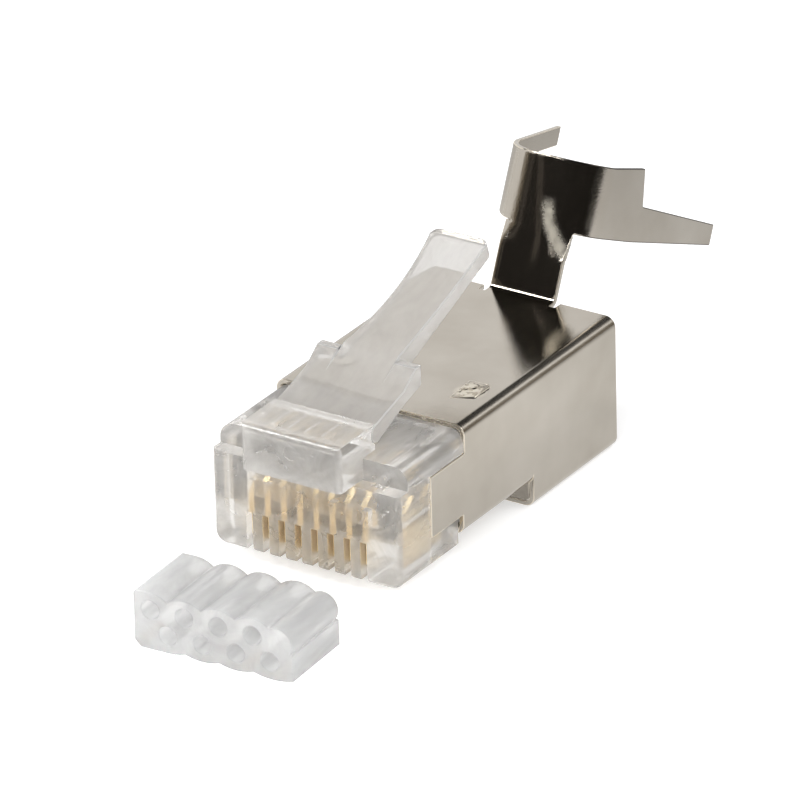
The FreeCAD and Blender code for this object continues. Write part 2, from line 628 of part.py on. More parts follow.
    # saddle: a channel across the neck's end, its two arms running back from it
    section = new_sketch(body, "saddle_section", "XY_Plane", *across_saddle)
    outline(section, [
        (f"-{left}", short_bend),
        (f"-{left} + {short_bend}", "0", short_bend, 1),
        (bend_start, "0"),
        (right, long_bend, long_bend, 1),
        (right, "Dims.long_tail"),
        (f"{right} - {t}", "Dims.long_tail"),
        (f"{right} - {t}", long_bend),
        (bend_start, t, inner, -1),
        (f"-{left} + {short_bend}", t),
        (f"-{left} + {t}", short_bend, f"{short_bend} - {t}", -1),
        (f"-{left} + {t}", "Dims.short_tail"),
        (f"-{left}", "Dims.short_tail"),
    ])
    climb = "(Dims.saddle_high + Dims.short_tail_rise - Dims.saddle_low)"
    pad(body, "saddle", section, climb)

    # trim the arms to their outlines, seen from the side: along the arm, and up the neck
    origin = neck_point("0", "0")
    split = f"(-{left} + {short_bend})"
    beyond = "(Dims.long_tail + Dims.cut_past)"
    above = f"({climb} + Dims.saddle_high)"
    below = "(Dims.saddle_low - Dims.cut_past)"
    short_edge = "Dims.saddle_high + Dims.short_tail_rise / Dims.short_tail"
    tail_low = "(Dims.long_tail_end - Dims.tail_end)"
    trims = {
        "long_arm_top": [
            (f"-{t}", "Dims.saddle_high"),
            (long_bend, "Dims.saddle_high"),
            ("Dims.long_arm", "Dims.saddle_high + Dims.long_arm_rise"),
            ("Dims.long_arm + Dims.long_arm_slant", "Dims.long_tail_root"),
            (beyond, "Dims.long_tail_end"),
            (beyond, above),
            (f"-{t}", above),
        ],
        "long_arm_foot": [
            ("Dims.long_arm", "Dims.saddle_low"),
            ("Dims.long_arm", below),
            (beyond, below),
            (beyond, tail_low),
        ],
        "short_arm_foot": [
            ("0", "Dims.saddle_low"),
            (short_bend, "Dims.saddle_low + Dims.saddle_cut"),
            ("Dims.short_arm", "Dims.saddle_low + Dims.saddle_cut"),
            ("Dims.short_arm", f"{short_edge} * Dims.short_arm - Dims.tail_end"),
            (beyond, f"{short_edge} * {beyond} - Dims.tail_end"),
            (beyond, "Dims.saddle_low"),
        ],
        "short_arm_top": [
            (f"-{t}", "Dims.saddle_high"),
            ("0", "Dims.saddle_high"),
            (beyond, f"{short_edge} * {beyond}"),
            (beyond, f"{above} + {beyond}"),
            (f"-{t}", f"{above} + {beyond}"),
        ],
    }
    for name, points in trims.items():
        trim = new_sketch(body, f"{name}_outline", "YZ_Plane", (origin[0], origin[1], split),
                          (V(0, 0, 1), f"-{LEAN}"))
        pocket(body, f"{name}_trim", outline(trim, points), back=name.startswith("long"))

    # lances: pierced to a point at the front and raised a little at their torn end
    torn = "(Dims.lance_back + Dims.lance_length)"
    for hand, sign in (("right", 1), ("left", -1)):
        middle = f"({sign} * Dims.lance_side)"
        lance = new_sketch(body, f"lance_{hand}_side", "YZ_Plane", ("0", "0", middle))
        outline(lance, [
            ("Dims.lance_back", "Dims.shield_top - Dims.sheet / 2"),
            (torn, "Dims.shield_top - Dims.sheet / 2"),
            (torn, "Dims.shield_top + Dims.lance_rise"),
            ("Dims.lance_back", "Dims.shield_top"),
        ])
        pad(body, f"lance_{hand}", lance, "Dims.lance_width", midplane=True)
        outer = f"{middle} + {sign} * Dims.lance_width / 2"
        front = new_sketch(body, f"lance_{hand}_plan", "XY_Plane", ("0", "0", "Dims.shield_top"))
        outline(front, [
            (f"{middle} - {sign} * Dims.lance_width / 2", "Dims.lance_back"),
            (outer, "Dims.lance_back"),
            (outer, "Dims.lance_back + Dims.lance_slant"),
        ])
        pocket(body, f"lance_{hand}_front", front, "Dims.sheet", back=True)
    return body


def rounded_section(half_width, low, high, radius):
    """A rectangle centred across the plug with rounded corners."""
    return [
        (f"{half_width} - {radius}", low),
        (half_width, f"{low} + {radius}", radius, 1),
        (half_width, f"{high} - {radius}"),
        (f"{half_width} - {radius}", high, radius, 1),
        (f"-{half_width} + {radius}", high),
        (f"-{half_width}", f"{high} - {radius}", radius, 1),
        (f"-{half_width}", f"{low} + {radius}"),
        (f"-{half_width} + {radius}", low, radius, 1),
    ]


# ---------------------------------------------------------------- load bar
def make_load_bar():
    """The clear bar that holds the eight wires in two staggered rows while they are pushed
    in. It lies taken out, in front of the plug, on the level of the cable box's floor."""
    body = new_body("load_bar")
    half, low = "(Dims.bar_width / 2)", "Dims.box_low"
    high = "(Dims.box_low + Dims.bar_height)"
    middle = "(Dims.box_low + Dims.bar_height / 2)"
    pitch, dip, sink = "Dims.bar_wire_pitch", "Dims.bar_groove", "Dims.bar_low_groove"
    lobe, low_lobe = bulged(pitch, dip), bulged(pitch, sink)
    low_groove = [f"(Dims.bar_first_wire + {k + 0.5} * {pitch})" for k in range(3)]
    high_groove = [f"(Dims.bar_first_wire + {k} * {pitch})" for k in (3, 2, 1, 0)]
    last_span = f"({half} - {low_groove[2]})"
    end_run = f"({half} - {sink} - {high_groove[0]})"
    end_climb = f"({high} - {dip} - {middle})"
    end_lobe = bulged(end_run, "Dims.bar_end_bulge", end_climb)

    lie = (("Dims.bar_aside", "0", "Dims.bar_ahead"), (V(0, 1, 0), "Dims.bar_turn"))
    section = new_sketch(body, "bar_section", "XZ_Plane", *lie)
    points = [
        (f"-{half}", f"{low} + {dip}"),
        (f"-{half} + {dip}", low),
        (f"{low_groove[0]} - {pitch} / 2", low),
        (low_groove[0], f"{low} + {sink}", low_lobe, 1),
        (low_groove[1], f"{low} + {sink}", low_lobe, 1),
        (low_groove[2], f"{low} + {sink}", low_lobe, 1),
        (half, f"{low} + {sink}", bulged(last_span, sink), 1),
        (half, middle),
        (f"{half} - {sink}", middle),
        (high_groove[0], f"{high} - {dip}", end_lobe, 1),
    ]
    points += [(groove, f"{high} - {dip}", lobe, 1) for groove in high_groove[1:]]
    points += [
        (f"{high_groove[3]} - {pitch} / 2", high, lobe, 1),
        (f"-{half} + {sink}", high),
        (f"-{half}", f"{high} - {sink}"),
    ]
    outline(section, points)
    pad(body, "bar", section, "Dims.bar_length")

    for row, across, up in (("low", "0", f"{low} + Dims.bar_wire_edge"),
                            ("high", f"-{pitch} / 2", f"{high} - Dims.bar_wire_edge")):
        hole = new_sketch(body, f"{row}_wire_section", "XZ_Plane", *lie)
        circle(hole, (f"Dims.bar_first_wire + {across}", up), "Dims.bar_wire_bore / 2")
        cut = pocket(body, f"{row}_wire_hole", hole, "Dims.bar_length", back=True)
        pattern(body, f"{row}_wire_holes", cut, (hole, ["H_Axis"]), pitch,
                "Dims.contact_count / 2")
    return body


# ---------------------------------------------------------------- check and write
PIECES = [make_housing()]
PIECES += [make_contact(number) for number in range(int(value("Dims.contact_count")))]
PIECES += [make_latch(), make_shield(), make_load_bar()]
doc.recompute()

for item in doc.Objects:
    if "Invalid" in item.State or "Error" in item.State:
        raise RuntimeError(f"{item.Name} did not build: {item.State}")
os.makedirs("parts", exist_ok=True)
for piece in PIECES:
    shape = piece.Shape
    if shape.isNull() or not shape.isValid() or len(shape.Solids) != 1:
        raise RuntimeError(f"{piece.Label} is not one valid solid")
    print(f"{piece.Label}: {shape.Volume:.2f} mm3, {len(shape.Faces)} faces")
    shape.exportStep(f"parts/{piece.Label}.step")
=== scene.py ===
from math import cos, hypot, radians, sin, sqrt

import bmesh
import bpy
from mathutils import Matrix, Vector


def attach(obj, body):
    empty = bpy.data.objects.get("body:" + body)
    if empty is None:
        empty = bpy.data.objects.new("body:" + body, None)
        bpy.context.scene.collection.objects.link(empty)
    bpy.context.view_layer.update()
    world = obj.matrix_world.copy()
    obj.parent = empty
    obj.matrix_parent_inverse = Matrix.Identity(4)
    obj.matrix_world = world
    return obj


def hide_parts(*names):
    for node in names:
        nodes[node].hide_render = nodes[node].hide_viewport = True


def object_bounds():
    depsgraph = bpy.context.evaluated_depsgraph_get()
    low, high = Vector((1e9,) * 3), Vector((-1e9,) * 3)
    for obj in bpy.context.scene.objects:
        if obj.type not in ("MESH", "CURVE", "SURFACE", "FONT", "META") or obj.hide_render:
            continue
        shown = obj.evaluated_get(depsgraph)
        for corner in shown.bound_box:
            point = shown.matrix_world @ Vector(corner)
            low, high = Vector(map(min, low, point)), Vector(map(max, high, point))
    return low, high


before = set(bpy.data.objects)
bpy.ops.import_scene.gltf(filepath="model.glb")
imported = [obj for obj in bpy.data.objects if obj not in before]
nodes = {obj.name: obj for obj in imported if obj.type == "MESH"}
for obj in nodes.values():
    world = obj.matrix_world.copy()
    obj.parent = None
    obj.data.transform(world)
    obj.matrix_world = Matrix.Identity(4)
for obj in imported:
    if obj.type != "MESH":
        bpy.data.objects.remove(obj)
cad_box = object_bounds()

MM = 0.001
scene = bpy.context.scene
scene.view_settings.view_transform = "Standard"
# Light crosses many clear walls and mirrors before it leaves the plug.
scene.cycles.max_bounces = 32
scene.cycles.glossy_bounces = 24
scene.cycles.transmission_bounces = 32

# ---------------------------------------------------------------- camera
# A long lens on a stand above the plug's front right corner, so that the nose, the
# latch, the top and the right side all show.
camera_data = bpy.data.cameras.new("camera")
camera_data.sensor_width = 36.0
camera_data.lens = 376.44
camera = bpy.data.objects.new("camera", camera_data)
scene.collection.objects.link(camera)
scene.camera = camera
camera.location = Vector((218.380, -321.347, 199.994)) * MM
aim = Vector((1.4926, 6.9615, 6.9051)) * MM
camera_roll = radians(-1.545)
sight = (aim - camera.location).to_track_quat("-Z", "Y").to_matrix()
camera.rotation_euler = (sight @ Matrix.Rotation(camera_roll, 3, "Z")).to_euler()


# ---------------------------------------------------------------- room and lamps
# A white room with three soft lamps. It lights things more dimly than the camera, the
# plated metal and the clear plastic see it, so that white stays white and forms show.
def put(tree, socket, value):
    """Sets a socket to a number or colour, or wires another node's output to it."""
    if isinstance(value, bpy.types.NodeSocket):
        tree.links.new(value, socket)
    else:
        socket.default_value = value


def add(tree, kind, inputs, **settings):
    """A shader node with its settings and with what goes into its sockets."""
    made = tree.nodes.new("ShaderNode" + kind)
    for name, value in settings.items():
        setattr(made, name, value)
    sockets = {socket.identifier: socket for socket in made.inputs}
    for identifier, value in inputs.items():
        put(tree, sockets[identifier], value)
    return made


def calc(tree, operation, first, second=0.0, third=0.0):
    return add(tree, "Math", {"Value": first, "Value_001": second, "Value_002": third},
               operation=operation).outputs[0]


def spread(tree, value, low, high, to_low=0.0, to_high=1.0, interpolation="LINEAR"):
    """What a value becomes when low to high is laid over to_low to to_high."""
    return add(tree, "MapRange", {"Value": value, "From Min": low, "From Max": high,
                                  "To Min": to_low, "To Max": to_high},
               interpolation_type=interpolation).outputs[0]


def soft_lamp(name, place, watts, width):
    light = bpy.data.lights.new(name, "AREA")
    light.energy = watts
    light.size = width
    lamp = bpy.data.objects.new(name, light)
    scene.collection.objects.link(lamp)
    lamp.location = place
    lamp.rotation_euler = (-Vector(place)).to_track_quat("-Z", "Y").to_euler()
    return lamp


world = bpy.data.worlds.new("studio")
scene.world = world
world.use_nodes = True
room = world.node_tree
sky = room.nodes["Background"]
put(room, sky.inputs["Color"], (1.0, 1.0, 1.0, 1.0))
ray = add(room, "LightPath", {}).outputs
straight = calc(room, "MAXIMUM", ray["Is Camera Ray"], ray["Is Glossy Ray"])
through_plastic = calc(room, "MULTIPLY", ray["Is Transmission Ray"], 0.75)
seen = calc(room, "MAXIMUM", straight, through_plastic)
put(room, sky.inputs["Strength"], spread(room, seen, 0.0, 1.0, 0.55, 1.0))

soft_lamp("key", (-0.375, -0.345, 0.585), 1.9, 0.22)
soft_lamp("fill", (0.45, 0.35, 0.55), 1.2, 0.35)
front = soft_lamp("front", (0.22, -0.62, 0.30), 3.3, 0.45)
front.visible_glossy = False


# ---------------------------------------------------------------- table
# A white table that keeps the plug's faint shadow. In mirrors it grows darker towards
# its far side, as a sweep does behind a small product stand.
def new_material(name):
    material = bpy.data.materials.new(name)
    material.use_nodes = True
    return material, material.node_tree, material.node_tree.nodes["Principled BSDF"]


def sheet_of(name, corners, faces):
    mesh = bpy.data.meshes.new(name)
    mesh.from_pydata(corners, [], faces)
    flat = bpy.data.objects.new(name, mesh)
    scene.collection.objects.link(flat)
    return flat


def blend(tree, share, first, second, kind="Color"):
    """The first of two colours (or floats), mixed with the second by its share."""
    mix = add(tree, "Mix", {"Factor_Float": share, f"A_{kind}": first, f"B_{kind}": second},
              data_type="RGBA" if kind == "Color" else "FLOAT")
    return next(socket for socket in mix.outputs if socket.identifier == f"Result_{kind}")


floor_level = cad_box[0][2]
table_half = 1.5
square = ((-1, -1), (1, -1), (1, 1), (-1, 1))
table = sheet_of("table", [(x * table_half, y * table_half, floor_level) for x, y in square],
                 [(0, 1, 2, 3)])
table_white, tree, shader = new_material("table_white")
put(tree, shader.inputs["Base Color"], (0.82, 0.82, 0.82, 1.0))
put(tree, shader.inputs["Roughness"], 0.9)
put(tree, shader.inputs["Specular IOR Level"], 0.1)
ray = add(tree, "LightPath", {}).outputs
glow = add(tree, "Emission", {"Strength": 0.46})
lifted = add(tree, "AddShader", {"Shader": shader.outputs[0], "Shader_001": glow.outputs[0]})
straight = calc(tree, "MAXIMUM", ray["Is Camera Ray"], ray["Is Glossy Ray"])
seen = calc(tree, "MAXIMUM", straight, ray["Is Transmission Ray"])
top = add(tree, "MixShader", {"Fac": seen, "Shader": shader.outputs[0],
                              "Shader_001": lifted.outputs[0]})
place = add(tree, "TexCoord", {}).outputs["Object"]
back = add(tree, "SeparateXYZ", {"Vector": place}).outputs["Y"]
sweep_start, sweep_end = 0.022, 0.060
in_mirrors = spread(tree, back, sweep_start, sweep_end, 0.20, 0.56)
dimmed = blend(tree, ray["Is Transmission Ray"], in_mirrors, 0.10, "Float")
dark = add(tree, "BsdfDiffuse", {"Color": (0.0, 0.0, 0.0, 1.0)})
sweep = add(tree, "MixShader", {"Fac": calc(tree, "MULTIPLY", dimmed, ray["Is Glossy Ray"]),
                                "Shader": top.outputs[0], "Shader_001": dark.outputs[0]})
put(tree, tree.nodes["Material Output"].inputs["Surface"], sweep.outputs[0])
table.data.materials.append(table_white)

# ---------------------------------------------------------------- dark cloths
# Black and brown cloths hung round the plug and over it, which only mirrors see. They
# make the plated sheet read as bright metal: dark on the clamp, pale on top and sides.
black, brown = (0.012, 0.010, 0.008), (0.22, 0.19, 0.15)


def cloth(name, color):
    """A cloth of one colour."""
    material, tree, shader = new_material(name)
    put(tree, shader.inputs["Base Color"], (*color, 1.0))
    put(tree, shader.inputs["Roughness"], 1.0)
    return material


def fading_cloth(name, shades):
    """A cloth hung round the object, with its colour by the bearing in degrees."""
    material, tree, shader = new_material(name)
    put(tree, shader.inputs["Roughness"], 1.0)
    place = add(tree, "TexCoord", {}).outputs["Object"]
    bearing = add(tree, "TexGradient", {"Vector": place}, gradient_type="RADIAL")
    shade = add(tree, "ValToRGB", {"Fac": bearing.outputs["Fac"]})
    ends = shade.color_ramp.elements
    while len(ends) < len(shades):
        ends.new(0.5)
    for end, (degrees, color) in zip(ends, shades):
        end.position = (degrees + 180) / 360
        end.color = (*color, 1.0)
    put(tree, shader.inputs["Base Color"], shade.outputs[0])
    return material


def level_sheet(name, middle, half, height, material):
    """A level cloth, by its middle and half its width and depth."""
    corners = [(middle[0] + half[0] * x, middle[1] + half[1] * y, height) for x, y in square]
    level = sheet_of(name, corners, [(0, 1, 2, 3)])
    level.data.materials.append(material)
    return level


def wall(name, material, first, last, reach, low, high, steps=16):
    """An upright cloth round the object, between two bearings in degrees."""
    turns = [radians(first + (last - first) * k / steps) for k in range(steps + 1)]
    corners = [(reach * cos(t), reach * sin(t), z) for t in turns for z in (low, high)]
    faces = [(2 * k, 2 * k + 2, 2 * k + 3, 2 * k + 1) for k in range(steps)]
    upright = sheet_of(name, corners, faces)
    upright.data.materials.append(material)
    return upright


black_cloth = cloth("flag_black", black)
brown_cloth = cloth("flag_brown", brown)
soft_cloth = fading_cloth("flag_soft_ends", (
    (-150, (0.60, 0.57, 0.52)), (-143, brown), (-135, black), (-129, (0.09, 0.08, 0.07)),
    (-125, black), (5, black), (18, brown), (30, (0.75, 0.72, 0.66))))
above_table = 0.0005
flags = [
    level_sheet("flag_above", (0.0, 0.16), (0.9, 0.79), 0.8, black_cloth),
    level_sheet("flag_low", (0.35, -0.10), (0.25, 0.16), floor_level + above_table, black_cloth),
    wall("flag_front", soft_cloth, -150, 30, 0.60, 0.0, 0.30, steps=32),
    wall("flag_front_high", black_cloth, -130, 0, 0.60, 0.30, 0.80, steps=24),
    wall("flag_back", black_cloth, 64, 114, 0.70, 0.42, 0.80),
    wall("flag_rear", brown_cloth, 30, 70, 0.70, 0.0, 0.27),
]
for flag in flags:
    flag.visible_camera = False
    flag.visible_diffuse = False
    flag.visible_transmission = False
    flag.visible_shadow = False


# ---------------------------------------------------------------- clear mouldings
# The nose, its latch and the load bar are moulded in clear plastic: slightly milky, wavy
# where the mould filled, with small rounded edges; the nose's are painted whiter as a painted
# highlight.
corner_angle = radians(30)


def round_corners(shape, rounding, segments):
    """Rounds every corner of a mesh; the new strips take the piece's second material."""
    corners = [edge for edge in shape.edges
               if len(edge.link_faces) == 2 and edge.calc_face_angle() > corner_angle]
    bmesh.ops.bevel(shape, geom=corners, offset=rounding * MM, segments=segments,
                    profile=0.5, affect="EDGES", clamp_overlap=False, material=1,
                    miter_outer="ARC")


def smooth_copy(node, name, rounding, segments=2, shaping=None):
    """A smooth copy of a CAD node with rounded edges. Where it is shaped further, its
    corners are rounded in its mesh first, and it stays within its own bounds."""
    mesh = nodes[node].data.copy()
    mesh.name = name
    mesh.materials.clear()
    shape = bmesh.new()
    shape.from_mesh(mesh)
    bmesh.ops.remove_doubles(shape, verts=shape.verts, dist=1e-7)
    bmesh.ops.dissolve_limit(shape, angle_limit=radians(0.4),
                             verts=shape.verts, edges=shape.edges)
    if shaping:
        spans = [(min(v.co[k] for v in shape.verts), max(v.co[k] for v in shape.verts))
                 for k in range(3)]
        round_corners(shape, rounding, segments)
        shaping(shape)
        for vert in shape.verts:
            vert.co = [min(max(c, low), high) for c, (low, high) in zip(vert.co, spans)]
    shape.to_mesh(mesh)
    shape.free()
    for face in mesh.polygons:
        face.use_smooth = True
    mesh.set_sharp_from_angle(angle=radians(28))
    piece = bpy.data.objects.new(name, mesh)
    scene.collection.objects.link(piece)
    if not shaping:
        bevel = piece.modifiers.new("rounding", "BEVEL")
        bevel.width = rounding * MM
        bevel.segments = segments
        bevel.limit_method = "ANGLE"
        bevel.angle_limit = corner_angle
        bevel.material = 1
    flat = piece.modifiers.new("flat_faces_stay_flat", "WEIGHTED_NORMAL")
    flat.mode = "FACE_AREA"
    flat.keep_sharp = True
    return piece


def painted_gold_share(tree, place):
    """How close a point is to the row of contacts, where the plastic is painted warmer as a
    painted reflection of their gold.
    """
    by_contacts = add(tree, "Mapping", {
        "Vector": place, "Location": (0.0, 1.0 * MM, 2.2 * MM),
        "Scale": (4.6 * MM, 3.2 * MM, 2.8 * MM)}, vector_type="TEXTURE")
    away = add(tree, "VectorMath", {"Vector": by_contacts.outputs[0]}, operation="LENGTH")
    return spread(tree, away.outputs["Value"], 0.75, 1.15, 1.0, 0.0)


def clear_plastic(name, milk, milk_color, depth=0.0, ripple=0.35):
    """Clear plastic mixed with a soft milky part that light passes through."""
    # Close to the contacts the clear and milky parts are painted warmer, a painted reflection of
    # the gold blades.
    clear, painted_gold_clear = (0.985, 0.98, 0.97, 1.0), (0.985, 0.95, 0.88, 1.0)
    painted_gold_milk = (1.0, 0.90, 0.74, 1.0)
    cloudy = 0.08
    material, tree, shader = new_material(name)
    place = add(tree, "TexCoord", {}).outputs["Object"]
    gold_tint_share = painted_gold_share(tree, place)
    drawn = add(tree, "Mapping", {"Vector": place, "Scale": (1.0, 0.35, 1.0)})
    flow = add(tree, "TexNoise", {"Vector": drawn.outputs[0], "Scale": 420.0, "Detail": 4.0,
                                  "Roughness": 0.6, "Distortion": 0.6}).outputs["Fac"]
    waves = add(tree, "Bump", {"Strength": ripple, "Distance": 0.00006, "Height": flow})
    put(tree, shader.inputs["Transmission Weight"], 1.0)
    put(tree, shader.inputs["IOR"], 1.57)
    put(tree, shader.inputs["Base Color"], blend(tree, gold_tint_share, clear, painted_gold_clear))
    put(tree, shader.inputs["Roughness"], spread(tree, flow, 0.0, 1.0, 0.0, 0.04))
    put(tree, shader.inputs["Normal"], waves.outputs[0])
    milky = add(tree, "BsdfPrincipled", {
        "Base Color": blend(tree, gold_tint_share, milk_color, painted_gold_milk), "Roughness": 0.18,
        "Subsurface Weight": 1.0 if depth else 0.0, "Subsurface Radius": (1.0, 1.0, 1.0),
        "Subsurface Scale": depth * MM, "Normal": waves.outputs[0]})
    lit_through = add(tree, "BsdfTranslucent",
                      {"Color": blend(tree, gold_tint_share, milk_color, painted_gold_milk)})
    veil = add(tree, "MixShader", {"Fac": 0.5, "Shader": milky.outputs[0],
                                   "Shader_001": lit_through.outputs[0]})
    share = spread(tree, flow, 0.3, 0.7, milk - cloudy, milk + cloudy)
    mixed = add(tree, "MixShader", {"Fac": share, "Shader": shader.outputs[0],
                                    "Shader_001": veil.outputs[0]})
    put(tree, tree.nodes["Material Output"].inputs["Surface"], mixed.outputs[0])
    return material


plastic = clear_plastic("clear_plastic", 0.30, (0.96, 0.94, 0.91, 1.0), ripple=0.22)
latch_plastic = clear_plastic("latch_plastic", 0.46, (0.80, 0.775, 0.745, 1.0), ripple=0.1)
latch_edge = clear_plastic("latch_edge", 0.75, (0.72, 0.72, 0.72, 1.0), ripple=0.2)
bar_plastic = clear_plastic("bar_plastic", 0.42, (0.87, 0.87, 0.87, 1.0), 3.0, ripple=0.9)
# Whiter, milkier plastic for the nose's edge strips: a painted highlight.
painted_edge_highlight = clear_plastic("painted_highlight_edges", 0.65, (0.98, 0.98, 0.98, 1.0))
for node, name, body, inside, edge, rounding in (
        ("housing", "nose_moulding", "root", plastic, painted_edge_highlight, 0.05),
        ("latch", "latch_moulding", "latch", latch_plastic, latch_edge, 0.07),
        ("load_bar", "bar_moulding", "root", bar_plastic, bar_plastic, 0.12)):
    piece = smooth_copy(node, name, rounding)
    piece.data.materials.append(inside)
    piece.data.materials.append(edge)
    piece.modifiers["rounding"].use_clamp_overlap = node != "latch"
    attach(piece, body)
    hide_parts(node)

# ---------------------------------------------------------------- plated sheet
# The shield and its cable clamp are one blank of nickel-plated sheet, pierced and folded.
# It has a fine grain and a soft haze, is duller on the stretched bends, crumpled at the
# lances with a painted glint there, and has a painted crescent highlight where the clamp's neck
# flares into the saddle.
lean = radians(25)
fold_back, fold_radius, shield_top = 21.21, 0.30, 6.73
fold_turn = radians(90) - lean
neck_up = Vector((0.0, sin(lean), cos(lean)))
neck_back = Vector((0.0, cos(lean), -sin(lean)))
neck_foot = Vector((0.0, fold_back + fold_radius * sin(fold_turn),
                    shield_top + fold_radius * (1 - cos(fold_turn)))) * MM


def two_tones(tree, share, first_at, first, second_at, second):
    """A colour that runs from one tone to another as a share grows."""
    ramp = add(tree, "ValToRGB", {"Fac": share})
    ends = ramp.color_ramp.elements
    ends[0].position, ends[1].position = first_at, second_at
    ends[0].color, ends[1].color = (*first, 1.0), (*second, 1.0)
    return ramp.outputs[0]


def on_long_bends(tree, mirrored_place):
    """Where the sheet is stretched round the two long upper bends."""
    split = add(tree, "SeparateXYZ", {"Vector": mirrored_place}).outputs
    outward = spread(tree, split["X"], 5.15 * MM, 5.45 * MM)
    upward = spread(tree, split["Z"], 6.05 * MM, 6.30 * MM)
    return calc(tree, "MULTIPLY", outward, upward)


def crumple_and_glint_at_lances(tree, mirrored_place):
    """How strongly the sheet is crumpled round the middle of each lance; the same share paints
    its colour brighter there, a painted glint.
    """
    lance_middle = (3.95 * MM, 9.9 * MM, shield_top * MM)
    off_lance = add(tree, "VectorMath", {"Vector": mirrored_place, "Vector_001": lance_middle},
                    operation="DISTANCE").outputs["Value"]
    return spread(tree, off_lance, 0.6 * MM, 0.95 * MM, 0.5, 0.0)


def painted_crescent_highlight(tree, place):
    """A crescent on the neck, painted paler as a painted highlight, along a circle that lies in
    the neck's plane.
    """
    crescent_up, crescent_aside, crescent_radius, ragged = 5.4, 3.9, 3.50, 0.5
    middle = neck_foot + neck_up * (crescent_up * MM) + Vector((crescent_aside * MM, 0.0, 0.0))
    in_plane = add(tree, "Mapping", {"Vector": place, "Location": middle,
                                     "Rotation": (-lean, 0.0, 0.0),
                                     "Scale": (1.0, 1000.0, 1.0)},
                   vector_type="TEXTURE").outputs[0]
    split = add(tree, "SeparateXYZ", {"Vector": in_plane}).outputs
    from_middle = add(tree, "VectorMath", {"Vector": in_plane}, operation="LENGTH")
    fray = add(tree, "TexNoise", {"Vector": place, "Scale": 14000.0, "Detail": 3.0})
    frayed = calc(tree, "MULTIPLY_ADD", fray.outputs["Fac"], ragged * MM,
                  from_middle.outputs["Value"])
    off_line = calc(tree, "ABSOLUTE", calc(tree, "SUBTRACT", frayed,
                                           (crescent_radius + ragged / 2) * MM))
    line = spread(tree, off_line, 0.08 * MM, 0.56 * MM, 1.0, 0.0, "SMOOTHSTEP")
    below_top = spread(tree, split["Z"], -0.7 * MM, 0.0, 1.0, 0.0, "SMOOTHSTEP")
    on_neck = calc(tree, "LESS_THAN", split["X"], 0.0)
    patch_noise = add(tree, "TexNoise", {"Vector": place, "Scale": 1400.0})
    patchy = spread(tree, patch_noise.outputs["Fac"], 0.35, 0.60, 0.6, 1.0)
    drawn = calc(tree, "MULTIPLY", calc(tree, "MULTIPLY", line, below_top), patchy)
    return calc(tree, "MULTIPLY", drawn, on_neck)


plated, tree, shader = new_material("plated_nickel")
place = add(tree, "TexCoord", {}).outputs["Object"]
both_sides = add(tree, "VectorMath", {"Vector": place}, operation="ABSOLUTE").outputs[0]
crumple_and_glint = crumple_and_glint_at_lances(tree, both_sides)
crescent_highlight = painted_crescent_highlight(tree, place)
clouds = add(tree, "TexNoise", {"Vector": place, "Scale": 260.0, "Detail": 3.0})
nickel = two_tones(tree, clouds.outputs["Fac"], 0.3, (0.46, 0.42, 0.36),
                   0.75, (0.54, 0.50, 0.44))
# The lances are painted brighter, a painted glint.
lance_glint_color, crescent_highlight_color = (0.85, 0.78, 0.64, 1.0), (0.60, 0.56, 0.47, 1.0)
without_crescent = blend(tree, crumple_and_glint, nickel, lance_glint_color)
# The crescent is painted paler, less metallic and rougher: a painted highlight.
put(tree, shader.inputs["Base Color"], blend(tree, crescent_highlight, without_crescent, crescent_highlight_color))
put(tree, shader.inputs["Metallic"], blend(tree, crescent_highlight, 1.0, 0.60, "Float"))
haze = spread(tree, clouds.outputs["Fac"], 0.0, 1.0, 0.05, 0.11)
stretched = calc(tree, "MULTIPLY_ADD", on_long_bends(tree, both_sides), 0.16, haze)
put(tree, shader.inputs["Roughness"], blend(tree, crescent_highlight, stretched, 0.45, "Float"))
rolled = add(tree, "Mapping", {"Vector": place, "Scale": (0.5, 1.0, 1.0)})
grain = add(tree, "TexNoise", {"Vector": rolled.outputs[0], "Scale": 15000.0, "Detail": 2.0})
height = add(tree, "SeparateXYZ", {"Vector": place}).outputs["Z"]
grain_depth = spread(tree, height, 9.8 * MM, 10.6 * MM, 0.000006, 0.000011)
grained = add(tree, "Bump", {"Strength": 0.6, "Distance": grain_depth,
                             "Height": grain.outputs["Fac"]})
crumple = add(tree, "TexNoise", {"Vector": place, "Scale": 1300.0, "Detail": 2.0})
crumpled = add(tree, "Bump", {"Strength": crumple_and_glint, "Distance": 0.0004,
                              "Height": crumple.outputs["Fac"],
                              "Normal": grained.outputs[0]})
put(tree, shader.inputs["Normal"], crumpled.outputs[0])

rim_glint_and_shade, tree, shader = new_material("rim_glint_and_shade")
# The rims are painted bright, a painted highlight, except on the long arm, whose rims and cut
# edges are painted dark, a painted shade.
rim_highlight_color, rim_shade_color = (0.78, 0.71, 0.60, 1.0), (0.10, 0.085, 0.07, 1.0)
place = add(tree, "TexCoord", {}).outputs["Object"]
split = add(tree, "SeparateXYZ", {"Vector": place}).outputs
long_arm_shade = calc(tree, "MULTIPLY", spread(tree, split["X"], 0.0, 1.0 * MM),
                   spread(tree, split["Y"], 23.3 * MM, 24.0 * MM))
bite = add(tree, "TexNoise", {"Vector": place, "Scale": 2800.0})
bitten = add(tree, "Bump", {"Strength": 0.6, "Distance": 0.00006,
                            "Height": bite.outputs["Fac"]})
put(tree, shader.inputs["Metallic"], 1.0)
put(tree, shader.inputs["Roughness"], 0.32)
put(tree, shader.inputs["Base Color"], blend(tree, long_arm_shade, rim_highlight_color, rim_shade_color))
put(tree, shader.inputs["Normal"], bitten.outputs[0])

